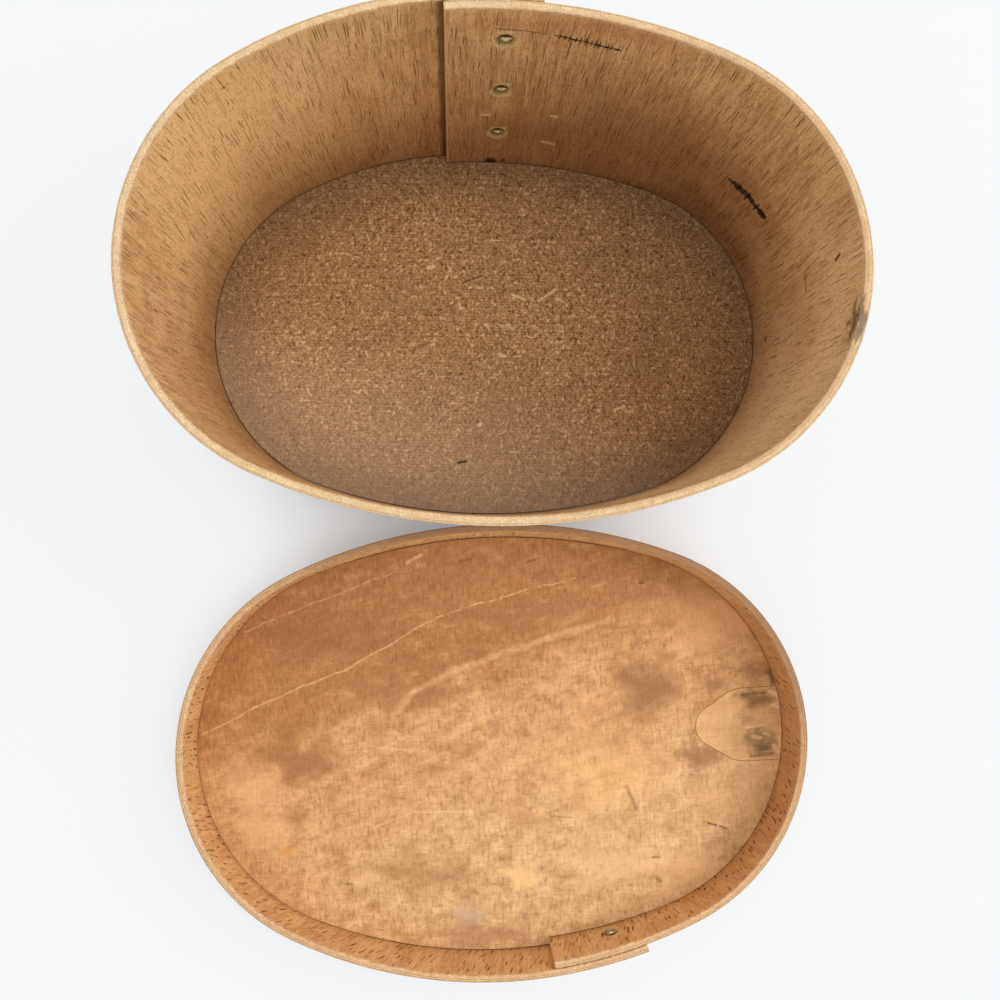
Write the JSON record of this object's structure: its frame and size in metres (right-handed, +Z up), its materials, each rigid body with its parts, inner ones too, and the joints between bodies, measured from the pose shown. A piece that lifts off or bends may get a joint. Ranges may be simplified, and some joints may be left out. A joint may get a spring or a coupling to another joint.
{
  "type": "oval bentwood box",
  "caption": "Oval bentwood box of lapped plywood with a board bottom, shown open with its loose lid lying beside it, inside up.",
  "frame": {"origin": "middle of the underside of the box's bottom board", "axes": "+X along the oval's length, +Y towards the lapped back of the box, +Z up; the lid lies beside the box on the -Y side"},
  "size_m": [0.2625, 0.3615, 0.12],
  "materials": {
    "box_ply": "satin",
    "particleboard": "matte",
    "lid_ply": "satin",
    "lid_board_ply": "satin",
    "patch_ply": "satin",
    "tack_metal": "satin",
    "brad_metal": "satin"
  },
  "bodies": {
    "box": {"box_band": "box_ply", "box_bottom": "particleboard", "box_lap_tack_top": "tack_metal", "box_lap_tack_middle": "tack_metal", "box_lap_tack_lower": "tack_metal", "box_bottom_tack": "tack_metal", "box_bottom_brads": "brad_metal"},
    "lid": {"lid_band": "lid_ply", "lid_board": "lid_board_ply", "lid_patch": "patch_ply", "lid_lap_tack": "tack_metal", "lid_board_brads": "brad_metal"}
  },
  "joints": [
    {"name": "lid_lift", "type": "slide", "parent": "box", "child": "lid", "axis": [0, -0.1701, 0.9854], "range_m": [0, 0.16]}
  ]
}
